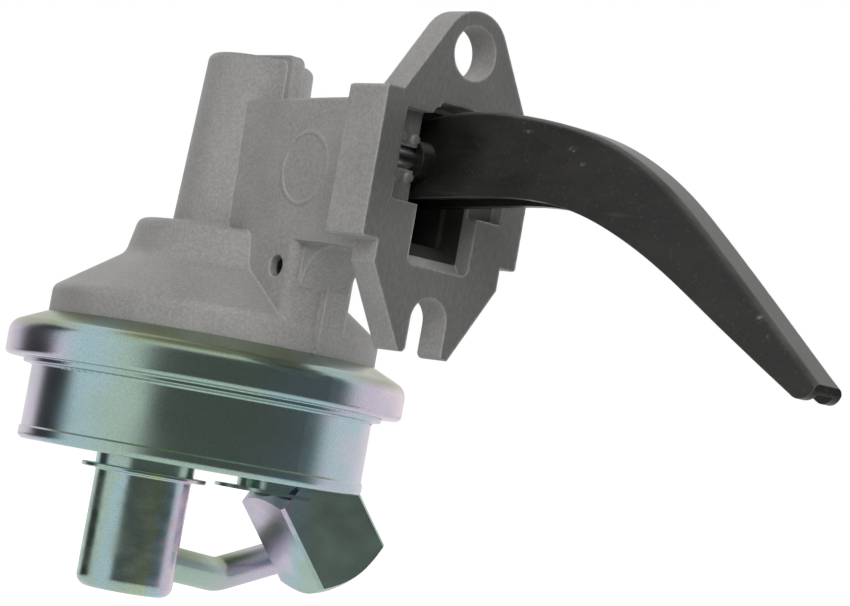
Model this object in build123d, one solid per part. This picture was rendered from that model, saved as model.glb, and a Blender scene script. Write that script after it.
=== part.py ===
from build123d import *
from math import cos, radians, sin, sqrt, tan
import os

# Mechanical fuel pump, in millimetres. The mounting face is the plane x = 0 and the
# centre of its round bolt hole is the origin. +X leaves the face towards the engine,
# +Z runs up the pump's axis from the fuel cup to the spring tower.

# Mounting flange: a thick band with a thinner ear above and below it
bolt_hole_d = 11.5
bolt_pitch = 57.0
slot_w = 9.9
ear_r = 8.9
ear_t = 7.6
ear_lean = 31.5
heel_w = 34.2
heel_h = 4.8
foot_h = 7.2
foot_round = 1.3
band_w = 42.8
band_t = 12.4
band_top = -11.0
band_h = 31.6
flange_edge = 0.5

# Throat of the flange, and the shallow pocket that the pivot pin is laid in
throat_w = 16.8
throat_top = -12.9
notch_w = 13.6
notch_rise = 1.2
notch_round = 1.15
throat_bottom = -46.0
throat_round = 1.6
throat_depth = 10.6
sill_t = 2.2
pocket_left = 15.5
pocket_right = 15.1
pocket_top = -14.4
pocket_bottom = -33.7
pocket_depth = 3.3
pocket_round = 0.7
stake_r = 0.95
stake_rise = 0.6
stake_offset = 3.95
stake_inset = 0.95
stake_pitch = 3.2

# Pivot of the rocker arm
pivot_x = -5.4
pivot_z = -24.4
pin_d = 4.76
pin_end_play = 0.4
pin_chamfer = 0.4
bush_d = 8.6
running_fit = 0.05
press_gap = 0.02
side_play = 0.3

# Arm box and spring tower of the casting
axis_x = -73.0
box_w = 20.3
box_top = -11.0
box_bottom = -43.9
box_draft = 1.4
box_root = -6.2
box_edge = 1.0
box_wall = 1.0
roof_t = 3.6
chamber_floor = -41.0
knee_r = 9.0
neck_corner = 2.5
neck_set_in = 0.15
tower_top = -2.2
tower_top_r = 12.0
tower_base_r = 13.56
tower_round = 1.9
tower_bore_r = 10.3
tower_cap_t = 2.6
ledge_z = -42.0
drum_top_r = 21.0
drum_base_r = 22.7
drum_base_z = -50.4
skirt_set_in = 7.95
skirt_top = -60.6
rib_w = 3.4
rib_rise = 1.35
rib_stand = 1.95
rib_foot_r = 1.2
rib_edge = 0.4
parting_w = 1.4
parting_rise = 0.35
mark_d = 16.4
mark_x = -38.4
mark_z = -27.4
mark_line = 0.7
mark_rise = 0.25
drain_d = 4.8
drain_x = -42.5
drain_z = -49.2

# Spaces inside the casting, round the pump's axis
well_floor = -47.0
seal_seat = -49.7
dome_roof = -53.0
dome_roof_set_in = 13.9
dome_wall = 3.35
dome_wall_top = -61.8
rod_way = 0.5

# Crimped rim and fuel cup, pressed from sheet
cup_t = 1.2
cup_set_in = 6.45
cup_bottom = -95.5
bead_rise = 0.4
bead_h = 2.6
rim_r = 45.2
rim_bottom = -77.4
rim_round = 3.4
ring_set_in = 4.4
ring_h = 1.1
lip_gap = 0.45
lip_in_z = -66.6
lip_out_z = -70.0
crimp_gap = 0.1
clamp_round = 1.8

# What the rim clamps, from the shelf up
gasket_t = 0.8
gasket_set_in = 0.6
body_flange_t = 2.2
diaphragm_t = 1.0

# Diaphragm assembly on its pull rod, at the bottom of its stroke
rod_d = 5.0
rod_head_r = 5.5
rod_head_t = 2.4
head_gap = 0.3
disc_drop = 2.8
plate_t = 1.2
plate_gap = 9.9
plate_step = 2.0
plate_lip = 2.0
rivet_washer_r = 7.0
rivet_head_r = 4.2
rivet_head_t = 1.1

# Seal of the pull rod, its retainer and the two large springs
seal_r = 7.0
seal_lip_gap = 0.08
retainer_r = 17.0
retainer_pilot_r = 10.4
retainer_pilot_h = 3.0
sheet_t = 1.0
diaphragm_spring_r = 13.2
diaphragm_spring_wire = 2.2
diaphragm_spring_turns = 3.5
return_spring_r = 8.0
return_spring_wire = 1.8
return_spring_turns = 6.5
spring_end_gap = 0.05
spring_seat_r = 9.3
spring_seat_hole_r = 6.7

# Rocker arm, a channel bent from sheet with its web on top
arm_w = 7.4
arm_t = 1.8
arm_bend = 1.4
arm_splay = 7.0
arm_depth = 20.5
arm_tip_x = 111.9
arm_tip_z = -60.3
fork_w = 14.4
fork_slot_w = 6.4
fork_top = -34.8
fork_end = 6.9
fork_root = 9.5
fork_slot_root = 1.0

# Valve body under the diaphragm
body_gap = 0.65
dish_floor = -80.4
dish_set_in = 5.4
body_floor_t = 3.0
inlet_valve_offset = -16.0
outlet_valve_offset = 15.0
valve_boss_r = 9.5
valve_boss_drop = 5.0
valve_bore_r = 7.4
valve_seat_t = 2.0
valve_way_r = 4.0
valve_disc_r = 6.2
valve_disc_t = 1.0
valve_lift = 1.2
valve_spring_r = 2.8
valve_spring_wire = 0.5
valve_spring_turns = 3.5
valve_cap_slot_w = 2.2
divider_offset = 3.0
divider_t = 2.4
divider_seal_t = 1.2

# Ports under the cup, both on one line across it
port_azimuth = 82.0
can_offset = -11.0
can_r = 10.8
can_t = 1.0
can_bottom = -125.3
can_round = 2.6
neck_wall = 1.6
neck_h = 2.5
collar_r = 14.05
collar_t = 1.0
block_set_in = 11.05
block_tilt = 40.0
block_size = 19.6
block_bevel = 0.8
block_corner_l = 21.8
block_end_r = 9.3
block_chamfer = 30.0
boss_r = 9.0
boss_h = 2.2
boss_collar_t = 0.8
pad_clear = 1.1
spigot_r = 4.5
spigot_l = 3.4
port_r = 5.4
port_depth = 8.4
seat_well_r = 4.95
seat_well_depth = 2.8
flare_seat_r = 4.4
flare_seat_tip_r = 2.9
flare_seat_h = 2.4
outlet_way_r = 2.0

# Inlet tube: out of the can's side, then up past the block
tube_d = 7.94
tube_wall = 0.9
tube_start_z = -116.7
tube_bend_x = -87.0
tube_bend_y = 23.2
tube_bend_z = -119.4
tube_bend_r = 7.0
tube_rise = 20.0
tube_leg = 35.0
tube_end_chamfer = 0.4

# Heights and radii that follow from the sizes above
skirt_r = rim_r - skirt_set_in
lip_in_r = skirt_r + lip_gap
lip_fall = (lip_in_z - lip_out_z) / (rim_r - lip_in_r)
dome_r = skirt_r - dome_wall
dome_roof_r = dome_r - dome_roof_set_in
cup_r = rim_r - cup_set_in
ring_r = rim_r - ring_set_in
upper_plate_r = dome_r - plate_gap
lower_plate_r = upper_plate_r - plate_step
body_r = cup_r - cup_t - body_gap
dish_floor_r = body_r - dish_set_in
block_offset = cup_r - block_set_in
band_bottom = band_top - band_h
slot_z = -bolt_pitch
foot_z = slot_z - foot_h
shelf_z = rim_bottom + cup_t
body_flange_bottom = shelf_z + gasket_t
body_flange_top = body_flange_bottom + body_flange_t
clamp_z = body_flange_top + diaphragm_t
clamped_r = rim_r - cup_t - crimp_gap
disc_top = clamp_z - disc_drop
disc_bottom = disc_top - diaphragm_t
upper_plate_top = disc_top + plate_t
lower_plate_bottom = disc_bottom - plate_t
washer_bottom = lower_plate_bottom - plate_t
rod_r = rod_d / 2
head_bottom = fork_top + head_gap
body_floor_bottom = dish_floor - body_floor_t
cup_floor = cup_bottom + cup_t
neck_bottom = cup_bottom - neck_h
collar_bottom = neck_bottom - collar_t
neck_r = skirt_r - neck_set_in


def lip_top(r):
    """Height of the crimped lip's upper face at radius r."""
    return lip_in_z - (r - lip_in_r) * lip_fall


def lip_under(r):
    """Height of the crimped lip's lower face at radius r."""
    return lip_top(r) - cup_t * sqrt(1 + lip_fall * lip_fall)


def outline(corners):
    """Closed face from (across, up, corner radius) triples, in the plane y = 0."""
    points = [(across, up) for across, up, _ in corners]
    radii = [radius for _, _, radius in corners]
    return Plane.XZ * make_face(FilletPolyline(*points, radius=radii, close=True).edges())


def turned(corners):
    """Solid of revolution about the pump's axis from (radius, height, corner) triples."""
    return Pos(axis_x, 0, 0) * revolve(outline(corners), Axis.Z)


def plate(corners, width):
    """Outline in the plane y = 0, thickened evenly to both sides."""
    return extrude(outline(corners), width / 2, both=True)


def upright(radius, low, high, x=axis_x, y=0.0):
    """Vertical cylinder between two heights."""
    return Pos(x, y, (low + high) / 2) * Cylinder(radius, high - low)


def crosswise(radius, width, x, z):
    """Cylinder along Y, centred on the plane of symmetry."""
    return Pos(x, 0, z) * Rot(90, 0, 0) * Cylinder(radius, width)


def block_between(x0, x1, width, z0, z1, y=0.0):
    """Box between two x and two z values, of one width about y."""
    return Pos((x0 + x1) / 2, y, (z0 + z1) / 2) * Box(abs(x1 - x0), width, abs(z1 - z0))


def box_side(x):
    """Half the arm box's drafted width at x."""
    return box_w / 2 - (box_root - x) * tan(radians(box_draft))


def coil(mean_r, wire_d, low, high, turns):
    """Coil spring standing on z = low and reaching z = high, on the local axis."""
    height = high - low - wire_d
    path = Helix(height / turns, height, mean_r)
    start = Plane(origin=path @ 0, z_dir=path % 0)
    spring = sweep(start * Circle(wire_d / 2), path, is_frenet=True)
    return Pos(0, 0, low + wire_d / 2) * spring


def on_port_line(offset):
    """Place on the line of the two ports, at a signed distance from the pump's axis."""
    across = radians(port_azimuth)
    return Pos(axis_x + offset * cos(across), offset * sin(across), 0)


def block_frame():
    """Frame of the outlet block: origin at its upper corners, +Z along it to the port."""
    across = radians(port_azimuth)
    lean = radians(block_tilt)
    centre = on_port_line(block_offset).position + Vector(0, 0, cup_bottom + 0.3)
    down = Vector(sin(lean) * cos(across), sin(lean) * sin(across), -cos(lean))
    return Plane(origin=centre, x_dir=(sin(across), -cos(across), 0), z_dir=down)


def block_end_rise():
    """How far the block's round end face stands past its chamfered corners."""
    corner_r = block_size / sqrt(2) - block_bevel / sqrt(2)
    return (corner_r - block_end_r) * tan(radians(block_chamfer))


def ear_outline(half_top, half_round_z):
    """Upper ear: a round end whose sides lean out tangentially to the band."""
    lean = radians(ear_lean)
    side_y = ear_r * cos(lean)
    side_z = ear_r * sin(lean)
    base_y = (ear_r - half_round_z * sin(lean)) / cos(lean)
    sides = Polygon((side_y, side_z), (-side_y, side_z), (-base_y, half_round_z),
                    (base_y, half_round_z), align=None)
    return Circle(half_top) + sides


def flange():
    """Mounting flange with its round hole above and its open slot below."""
    band = block_between(-band_t, 0, band_w, band_bottom, band_top)
    band = chamfer(band.edges().filter_by(Axis.X), flange_edge)

    face = Plane(origin=(0, 0, 0), x_dir=(0, 1, 0), z_dir=(1, 0, 0))
    upper = extrude(face * ear_outline(ear_r, band_top - 1), -ear_t)

    heel_y = heel_w / 2
    heel_z = band_bottom - heel_h
    toe_y = heel_y - (heel_z - foot_z) * tan(radians(ear_lean))
    lower_face = Polygon((-heel_y, band_bottom + 1), (-heel_y, heel_z), (-toe_y, foot_z),
                         (toe_y, foot_z), (heel_y, heel_z), (heel_y, band_bottom + 1), align=None)
    slot = Pos(0, slot_z) * (Circle(slot_w / 2) + Pos(0, -foot_h) * Rectangle(slot_w, 2 * foot_h))
    lower_face = lower_face - slot
    feet = [v for v in lower_face.vertices() if abs(v.Y - foot_z) < 0.01]
    lower_face = fillet([v for v in feet if abs(v.X) < toe_y - 0.1], foot_round)
    lower = extrude(face * lower_face, -ear_t)

    hole = Rot(0, 90, 0) * Cylinder(bolt_hole_d / 2, 4 * ear_t)
    return band + upper + lower - hole


def casting_body():
    """Outside of the casting above the rim: turned dome and tower, arm box and neck."""
    dome = turned([
        (0, clamp_z, 0),
        (clamped_r, clamp_z, 0),
        (clamped_r, lip_under(clamped_r) - crimp_gap, clamp_round),
        (skirt_r, lip_under(skirt_r) - crimp_gap, 0),
        (skirt_r, skirt_top, 2.4),
        (drum_base_r, drum_base_z, 3.6),
        (drum_top_r, ledge_z, 2.0),
        (tower_base_r, ledge_z, 1.2),
        (tower_top_r, tower_top, tower_round),
        (0, tower_top, 0),
    ])

    root = Plane(origin=(box_root, 0, (box_top + box_bottom) / 2), x_dir=(0, 1, 0), z_dir=(-1, 0, 0))
    box = extrude(root * Rectangle(box_w, box_top - box_bottom), box_root - axis_x, taper=box_draft)
    long_edges = box.edges().filter_by(lambda edge: edge.length > 50)
    box = fillet(long_edges.group_by(Axis.Z)[-1], box_edge)

    front_y = box_side(axis_x + neck_r)
    back_y = box_side(axis_x)
    slab = Polygon((0, -back_y), (neck_r, -front_y), (neck_r, front_y), (0, back_y), align=None)
    neck_face = Circle(neck_r) & slab
    neck_face = fillet(neck_face.vertices().sort_by(Axis.X)[-2:], neck_corner)
    neck_low = lip_in_z + 0.4
    neck = Pos(axis_x, 0, neck_low) * extrude(neck_face, box_bottom - neck_low + 2.0)

    front_x = axis_x + neck_r
    knee_top = box_bottom + 1.5
    knee = block_between(front_x - 3, front_x + knee_r, 2 * (front_y - neck_corner),
                         box_bottom - knee_r, knee_top)
    knee = knee - crosswise(knee_r, box_w, front_x + knee_r, box_bottom - knee_r)
    return dome + box + neck + knee


def parting_rib():
    """Rib on the parting line: over the tower, down its arm side, and down the neck."""
    out_x = axis_x + tower_top_r + rib_stand
    low_x = out_x + 0.45
    over = plate([
        (axis_x - 0.7 * tower_top_r, tower_top - 2, 0),
        (axis_x - 0.7 * tower_top_r, tower_top + rib_rise, 0.8),
        (out_x, tower_top + rib_rise, tower_round + 0.6),
        (low_x, box_top + 0.1, rib_foot_r),
        (low_x + 2 * rib_foot_r, box_top - 0.25, 0),
        (low_x + 2 * rib_foot_r, box_top - 2.5, 0),
        (axis_x, box_top - 2.5, 0),
    ], rib_w)
    over = fillet(over.edges().filter_by(lambda edge: edge.center().X > out_x - 3
                                         and abs(abs(edge.center().Y) - rib_w / 2) < 0.01
                                         and edge.center().Z > box_top), rib_edge)
    front_x = axis_x + neck_r
    down = plate([
        (front_x - 2, lip_in_z + 1.2, 0),
        (front_x + parting_rise, lip_in_z + 1.2, 0),
        (front_x + parting_rise, box_bottom - knee_r, 0),
        (front_x - 2, box_bottom - knee_r, 0),
    ], parting_w)
    return over + down


def casting_spaces():
    """Everything that is hollow in the casting."""
    throat = plate([
        (1, throat_bottom, 0),
        (-sill_t, throat_bottom, 0),
        (-ear_t, chamber_floor, 0),
        (-throat_depth, chamber_floor, 0),
        (-throat_depth, throat_top, 0),
        (1, throat_top, 0),
    ], throat_w)
    throat = fillet(throat.edges().filter_by(Axis.X), throat_round)
    notch = block_between(-throat_depth, 1, notch_w, throat_top - 3, throat_top + notch_rise)
    notch = fillet(notch.edges().filter_by(Axis.X).group_by(Axis.Z)[-1], notch_round)

    pocket_w = pocket_left + pocket_right
    pocket_y = (pocket_right - pocket_left) / 2
    pocket = block_between(-pocket_depth, 1, pocket_w, pocket_bottom, pocket_top, pocket_y)
    pocket = fillet(pocket.edges().filter_by(Axis.X), pocket_round)
    groove_r = pin_d / 2 + running_fit
    groove = Pos(0, pocket_y, 0) * crosswise(groove_r, pocket_w, pivot_x, pivot_z)
    groove = groove + block_between(pivot_x, 0, pocket_w, pivot_z - groove_r, pivot_z + groove_r,
                                    pocket_y)

    chamber_w = 2 * (box_side(axis_x) - box_wall)
    chamber = block_between(axis_x, -ear_t, chamber_w, chamber_floor, box_top - roof_t)
    bore = upright(tower_bore_r, well_floor, tower_top - tower_cap_t)

    seal_bore = upright(seal_r + press_gap, dome_roof - 1, seal_seat)
    rod_hole = upright(rod_r + rod_way, seal_seat - 1, well_floor + 1)
    dome = turned([
        (0, clamp_z - 1, 0),
        (dome_r, clamp_z - 1, 0),
        (dome_r, dome_wall_top, 2.0),
        (dome_roof_r, dome_roof, 1.5),
        (0, dome_roof, 0),
    ])
    vent = block_between(drain_x - 5.0, drain_x + 3.4, box_w - 6.5, dome_wall_top - 2, drain_z + 3.2)
    drain = Pos(drain_x, -box_w / 2, drain_z) * Rot(90, 0, 0) * Cylinder(drain_d / 2, 8)
    return (throat + notch + pocket + groove + chamber + bore + seal_bore + rod_hole + dome + vent
            + drain)


def casting_marks():
    """Round witness mark on the side of the arm box, and the stakes over the pin."""
    marks = []
    ring = Circle(mark_d / 2) - Circle(mark_d / 2 - mark_line)
    lean = tan(radians(box_draft))
    side = Plane(origin=(mark_x, -box_side(mark_x), mark_z), x_dir=(1, -lean, 0), z_dir=(-lean, -1, 0))
    marks.append(extrude(side * ring, mark_rise, both=True))
    throat_y = throat_w / 2
    for y_sign in (-1, 1):
        for y in (y_sign * (throat_y + stake_inset), y_sign * (throat_y + stake_inset + stake_pitch)):
            for z_sign in (-1, 1):
                z = pivot_z + z_sign * stake_offset
                lump = Pos(-pocket_depth, y, z) * Rot(0, 90, 0) * Cylinder(stake_r, 2 * stake_rise)
                marks.append(lump)
    return marks


def housing_casting():
    """Die-cast housing that carries every other piece."""
    body = casting_body() + flange() + parting_rib() - casting_spaces()
    for mark in casting_marks():
        body = body + mark
    return body


def pivot_pin():
    """Plain pin laid across the throat and staked into its groove."""
    pin = crosswise(pin_d / 2, pocket_left + pocket_right - 2 * pin_end_play, pivot_x, pivot_z)
    pin = Pos(0, (pocket_right - pocket_left) / 2, 0) * pin
    return chamfer(pin.edges().filter_by(GeomType.CIRCLE), pin_chamfer)


def web_path():
    """Line of the arm's top surface, from the fork to past the tip."""
    return Plane.XZ * Spline(
        (axis_x + fork_root, fork_top),
        (-50.0, -29.3),
        (-30.0, -21.6),
        (-14.0, -16.3),
        (0.0, -13.3),
        (14.0, -12.8),
        (32.0, -14.5),
        (45.7, -17.3),
        (58.3, -22.1),
        (67.6, -27.2),
        (77.2, -33.9),
        (95.7, -47.9),
        (arm_tip_x + 4, arm_tip_z - 3),
    )


def channel_section():
    """Cross-section of the arm: a web with sides that lean out below it."""
    lean = tan(radians(arm_splay))
    foot_y = arm_w / 2 + arm_depth * lean
    wall = arm_t / cos(radians(arm_splay))
    side_y = arm_w / 2 + arm_t * lean - wall
    outer = Polygon((-arm_w / 2, 0), (arm_w / 2, 0), (foot_y, -arm_depth), (-foot_y, -arm_depth),
                    align=None)
    outer = fillet(outer.vertices().group_by(Axis.Y)[-1], arm_bend)
    inner = Polygon((-side_y, -arm_t), (side_y, -arm_t), (foot_y - wall, -arm_depth - 1),
                    (wall - foot_y, -arm_depth - 1), align=None)
    return outer - inner


def arm_side():
    """Side view of the arm's lower edge and rounded tip, left open above the web."""
    under = [
        (107.0, -63.1),
        (97.5, -58.0),
        (84.6, -50.9),
        (71.3, -43.5),
        (57.9, -37.3),
        (44.3, -32.9),
        (34.9, -31.3),
        (24.8, -30.7),
        (10.0, -31.3),
        (-20.0, -33.4),
        (-45.0, -36.4),
        (axis_x + fork_root, fork_top - 1.6 * arm_t),
    ]
    tip = ThreePointArc((arm_tip_x, arm_tip_z - 1.6), (arm_tip_x - 1.4, arm_tip_z - 3.0), under[0])
    back = Polyline(under[-1], (under[-1][0], 0), (arm_tip_x + 1, 0), (arm_tip_x + 0.3, arm_tip_z),
                    (arm_tip_x, arm_tip_z - 1.6))
    face = make_face([Spline(*under).edge(), tip.edge(), *back.edges()])
    return extrude(Plane.XZ * face, fork_w, both=True)


def rocker_arm():
    """Channel arm with a flat fork at its inner end for the pull rod."""
    path = web_path()
    start = Plane(origin=path @ 0, x_dir=(0, 1, 0), z_dir=path % 0)
    channel = sweep(start * channel_section(), path) & arm_side()

    fork_x0 = axis_x - fork_end
    fork_x1 = axis_x + fork_root + 2.0
    fork = block_between(fork_x0, fork_x1, fork_w, fork_top - arm_t, fork_top)
    fork = fillet(fork.edges().filter_by(Axis.Z), 1.5)
    slot_x = axis_x + fork_slot_root
    slot = upright(fork_slot_w / 2, fork_top - 2 * arm_t, fork_top + arm_t, slot_x)
    slot = slot + block_between(fork_x0 - 1, slot_x, fork_slot_w, fork_top - 2 * arm_t,
                                fork_top + arm_t)
    bore = crosswise(bush_d / 2 + press_gap, throat_w, pivot_x, pivot_z)
    return channel + fork - slot - bore


def pivot_bush():
    """Tube riveted through the arm's two sides, turning on the pin."""
    outer = crosswise(bush_d / 2, throat_w - 2 * side_play, pivot_x, pivot_z)
    return outer - crosswise(pin_d / 2 + running_fit, throat_w, pivot_x, pivot_z)


def spring_seat():
    """Washer on the fork that the return spring presses on."""
    seat = upright(spring_seat_r, fork_top, fork_top + sheet_t)
    return seat - upright(spring_seat_hole_r, fork_top - 1, fork_top + 2 * sheet_t)


def return_spring():
    """Spring in the tower that keeps the arm against its cam."""
    low = fork_top + sheet_t + spring_end_gap
    high = tower_top - tower_cap_t - spring_end_gap
    spring = coil(return_spring_r, return_spring_wire, low, high, return_spring_turns)
    return Pos(axis_x, 0, 0) * spring


def pull_rod():
    """Rod with a head over the fork and a peened end under the diaphragm's plates."""
    rod = upright(rod_r, washer_bottom, head_bottom + rod_head_t / 2)
    head = upright(rod_head_r, head_bottom, head_bottom + rod_head_t)
    head = chamfer(head.edges().group_by(Axis.Z)[-1], 0.6)
    peened = upright(rivet_head_r, washer_bottom - rivet_head_t, washer_bottom)
    peened = fillet(peened.edges().group_by(Axis.Z)[0], 0.7)
    return rod + head + peened


def rod_seal():
    """Rubber seal in the floor of the casting, with a lip on the rod."""
    seal = upright(seal_r, dome_roof, seal_seat)
    inside_r = rod_r + seal_lip_gap
    seal = seal - upright(inside_r, dome_roof - 1, seal_seat + 1)
    relief = upright(inside_r + 1.2, dome_roof - 1, (dome_roof + seal_seat) / 2)
    return seal - relief


def seal_retainer():
    """Pressed ring that holds the seal up and centres the diaphragm spring."""
    low = dome_roof - sheet_t
    ring = upright(retainer_r, low, dome_roof)
    pilot = upright(retainer_pilot_r, low - retainer_pilot_h, low)
    inside = upright(retainer_pilot_r - sheet_t, low - retainer_pilot_h - 1, low)
    way = upright(rod_r + 2.0, low - 1, dome_roof + 1)
    return ring + (pilot - inside) - way


def diaphragm_spring():
    """Spring that pushes the diaphragm down and sets the fuel pressure."""
    low = upper_plate_top + spring_end_gap
    high = dome_roof - sheet_t - spring_end_gap
    spring = coil(diaphragm_spring_r, diaphragm_spring_wire, low, high, diaphragm_spring_turns)
    return Pos(axis_x, 0, 0) * spring


def pressed_plate(radius, low, lip_up):
    """Round diaphragm plate with a turned edge and a hole for the rod."""
    high = low + plate_t
    if lip_up:
        corners = [(0, low, 0), (radius - 1.5, low, 1.5), (radius, low + plate_lip, 0),
                   (radius - plate_t, high + plate_lip, 0), (radius - 2.2 - plate_t, high, 1.0),
                   (0, high, 0)]
    else:
        corners = [(0, high, 0), (radius - 1.0, high, 1.2), (radius, high - plate_lip, 0),
                   (radius - plate_t, low - plate_lip / 2, 0), (radius - 2.0 - plate_t, low, 1.0),
                   (0, low, 0)]
    return turned(corners) - upright(rod_r + press_gap, low - 5, high + 5)


def diaphragm():
    """Rubberised cloth, clamped flat under the rim and dropping to its centre disc."""
    flat_r = upper_plate_r + 0.6
    face = [
        (rod_r + press_gap, disc_bottom, 0),
        (flat_r, disc_bottom, 2.5),
        (dome_r - 1.2, body_flange_top, 1.5),
        (clamped_r, body_flange_top, 0),
        (clamped_r, clamp_z, 0),
        (dome_r - 1.6, clamp_z, 2.5),
        (flat_r - 0.2, disc_top, 1.5),
        (rod_r + press_gap, disc_top, 0),
    ]
    return turned(face)


def rivet_washer():
    """Washer between the lower plate and the rod's peened end."""
    washer = upright(rivet_washer_r, washer_bottom, lower_plate_bottom)
    return washer - upright(rod_r + press_gap, washer_bottom - 1, lower_plate_bottom + 1)


def valve_body():
    """Die-cast disc with both valve pockets and the wall between the two chambers."""
    body = turned([
        (0, body_floor_bottom, 0),
        (body_r, body_floor_bottom, 0.8),
        (body_r, body_flange_bottom, 0),
        (clamped_r, body_flange_bottom, 0),
        (clamped_r, body_flange_top, 0),
        (dome_r - 0.6, body_flange_top, 0.8),
        (dish_floor_r, dish_floor, 1.5),
        (0, dish_floor, 0),
    ])
    boss_low = dish_floor - body_floor_t - valve_boss_drop
    for offset in (inlet_valve_offset, outlet_valve_offset):
        body = body + on_port_line(offset) * upright(valve_boss_r, boss_low, dish_floor - 1, 0)

    wall_low = cup_floor + divider_seal_t
    wall_h = body_floor_bottom - wall_low + 0.5
    wall = Pos(0, 0, wall_low + wall_h / 2) * Box(divider_t, 2 * body_r, wall_h)
    wall = on_port_line(divider_offset) * Rot(0, 0, port_azimuth) * wall
    body = body + (wall & upright(body_r, wall_low - 1, body_floor_bottom + 1))

    seat_top = boss_low + valve_seat_t
    inlet = upright(valve_bore_r, seat_top, dish_floor + 1, 0)
    inlet = inlet + upright(valve_way_r, boss_low - 1, seat_top + 1, 0)
    seat_low = dish_floor - valve_seat_t
    outlet = upright(valve_bore_r, boss_low - 1, seat_low, 0)
    outlet = outlet + upright(valve_way_r, seat_low - 1, dish_floor + 1, 0)
    return body - on_port_line(inlet_valve_offset) * inlet - on_port_line(outlet_valve_offset) * outlet


def valve_disc():
    """Check valve disc, lying on z = 0."""
    return Pos(0, 0, valve_disc_t / 2) * Cylinder(valve_disc_r, valve_disc_t)


def valve_cap():
    """Slotted cap pressed into a valve's pocket, its inner face on z = 0."""
    cap = Pos(0, 0, sheet_t / 2) * Cylinder(valve_bore_r - press_gap, sheet_t)
    for angle in (0, 90, 180, 270):
        slot = Pos(valve_spring_r + 2.2, 0, 0) * Box(2.6, valve_cap_slot_w, 4 * sheet_t)
        cap = cap - Rot(0, 0, angle + 45) * slot
    return cap


def valve_pieces():
    """Both check valves: the inlet opens upwards and the outlet is the same, inverted."""
    boss_low = dish_floor - body_floor_t - valve_boss_drop
    seat_top = boss_low + valve_seat_t
    cap_z = dish_floor - sheet_t - seat_top
    spring = coil(valve_spring_r, valve_spring_wire, valve_disc_t, cap_z, valve_spring_turns)
    pieces = {
        "valve_disc": valve_disc(),
        "valve_spring": spring,
        "valve_retainer": Pos(0, 0, cap_z) * valve_cap(),
    }
    inlet_place = on_port_line(inlet_valve_offset) * Pos(0, 0, seat_top)
    outlet_place = on_port_line(outlet_valve_offset) * Pos(0, 0, dish_floor - valve_seat_t)
    placed = {}
    for name, piece in pieces.items():
        placed["inlet_" + name] = inlet_place * piece
        placed["outlet_" + name] = outlet_place * Rot(180, 0, 0) * piece
    return placed


def cup_gasket():
    """Flat gasket between the cup's shelf and the valve body."""
    ring = upright(clamped_r - gasket_set_in, shelf_z, body_flange_bottom)
    return ring - upright(body_r + 0.6, shelf_z - 1, body_flange_bottom + 1)


def divider_seal():
    """Rubber strip that closes the wall between the chambers onto the cup's floor."""
    strip = Pos(0, 0, cup_floor + divider_seal_t / 2) * Box(divider_t + 1, 2 * body_r, divider_seal_t)
    strip = on_port_line(divider_offset) * Rot(0, 0, port_azimuth) * strip
    return strip & upright(body_r - 0.2, cup_floor - 1, shelf_z)


def outlet_pad(extra):
    """Space for the block's upper end, grown by a sheet thickness for its skin."""
    wide_r = block_size / sqrt(2) + pad_clear + extra
    end_r = block_end_r + pad_clear + extra
    end_t = -block_end_rise() - extra
    cone_h = (wide_r - end_r) * tan(radians(block_chamfer))
    space = revolve(Plane.XZ * Polygon(
        (0, end_t), (end_r, end_t), (wide_r, end_t + cone_h), (wide_r, 2 * block_corner_l),
        (0, 2 * block_corner_l), align=None), Axis.Z)
    return block_frame().location * space


def fuel_cup():
    """Pressed cup: crimped rim, wall, and a slanted pad with a boss for the outlet."""
    bead_r = cup_r + bead_rise
    outside = turned([
        (0, cup_bottom, 0),
        (bead_r, cup_bottom, 1.3),
        (bead_r, cup_bottom + bead_h, 0),
        (cup_r, cup_bottom + bead_h + bead_rise, 0),
        (cup_r, rim_bottom - ring_h - 0.3, 0.6),
        (ring_r, rim_bottom - ring_h, 0.35),
        (ring_r, rim_bottom, 0.3),
        (rim_r, rim_bottom, 1.2),
        (rim_r, lip_top(rim_r), rim_round),
        (lip_in_r, lip_in_z, 0),
        (0, lip_in_z, 0),
    ])
    wall_r = cup_r - cup_t
    edge_r = rim_r - cup_t
    inside = turned([
        (0, cup_floor, 0),
        (wall_r, cup_floor, 0),
        (wall_r, shelf_z, 0.5),
        (edge_r, shelf_z, 0.3),
        (edge_r, lip_under(edge_r), rim_round - cup_t),
        (lip_in_r, lip_under(lip_in_r), 0),
        (lip_in_r, lip_in_z + 1, 0),
        (0, lip_in_z + 1, 0),
    ])
    cup = outside - (inside - outlet_pad(cup_t))

    neck_out_r = can_r + 0.3
    cup = cup + on_port_line(can_offset) * upright(neck_out_r, neck_bottom, cup_bottom + 0.2, 0)
    boss_low = cup_bottom - boss_h
    outlet = upright(boss_r, boss_low, cup_bottom + 0.2, 0)
    outlet = outlet + upright(collar_r, boss_low - boss_collar_t, boss_low, 0)
    cup = cup + on_port_line(block_offset - 4.5) * outlet
    cup = cup - outlet_pad(0)

    way = upright(neck_out_r - neck_wall, neck_bottom - 1, cup_floor + 1, 0)
    spigot_hole = block_frame().location * Cylinder(spigot_r + press_gap, 30)
    inner_space = upright(wall_r, cup_floor - 4, shelf_z)
    cup = cup - on_port_line(can_offset) * way
    return cup - (spigot_hole & inner_space)


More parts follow.
